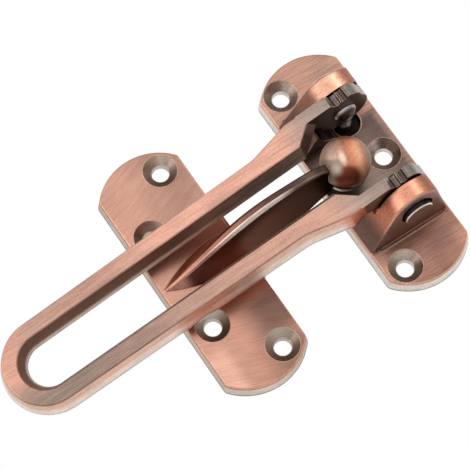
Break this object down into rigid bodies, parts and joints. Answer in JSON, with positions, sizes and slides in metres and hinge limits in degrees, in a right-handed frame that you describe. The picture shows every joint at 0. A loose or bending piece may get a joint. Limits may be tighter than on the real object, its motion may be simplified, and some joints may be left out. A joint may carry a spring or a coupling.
{
  "type": "swing bar door guard",
  "caption": "Swing bar door guard: a slotted bar pivots between the ears of a hinge plate and closes over the ball of a separate hooked keeper plate.",
  "frame": {"origin": "centre of the hinge plate's back face, on the surface it is screwed to", "axes": "+Z out of the door surface, +X from the bar tip towards the hinge along the closed bar, +Y across the bar"},
  "size_m": [0.1403, 0.0838, 0.0279],
  "materials": {
    "brushed_copper": "brushed red copper plating with dark antique patina in the recesses",
    "dark_pin": "dark antique patina",
    "plunger_steel": "plain turned steel",
    "spring_steel": "plain spring wire"
  },
  "bodies": {
    "base": {"hinge_plate": "brushed_copper", "keeper": "brushed_copper", "pin_left": "dark_pin", "pin_right": "dark_pin", "detent_spring_left": "spring_steel", "detent_spring_right": "spring_steel"},
    "bar": {"swing_bar": "brushed_copper"},
    "plunger_left": {"plunger_left": "plunger_steel"},
    "plunger_right": {"plunger_right": "plunger_steel"}
  },
  "joints": [
    {"name": "bar_swing", "type": "hinge", "parent": "base", "child": "bar", "pos_m": [0.0026, 0, 0.0172], "axis": [0, 1, 0], "range_deg": [0, 175]},
    {"name": "plunger_left_press", "type": "slide", "parent": "base", "child": "plunger_left", "axis": [0, 0, 1], "range_m": [0, 0.0013], "deforming": ["detent_spring_left"]},
    {"name": "plunger_right_press", "type": "slide", "parent": "base", "child": "plunger_right", "axis": [0, 0, 1], "range_m": [0, 0.0013], "deforming": ["detent_spring_right"]}
  ]
}
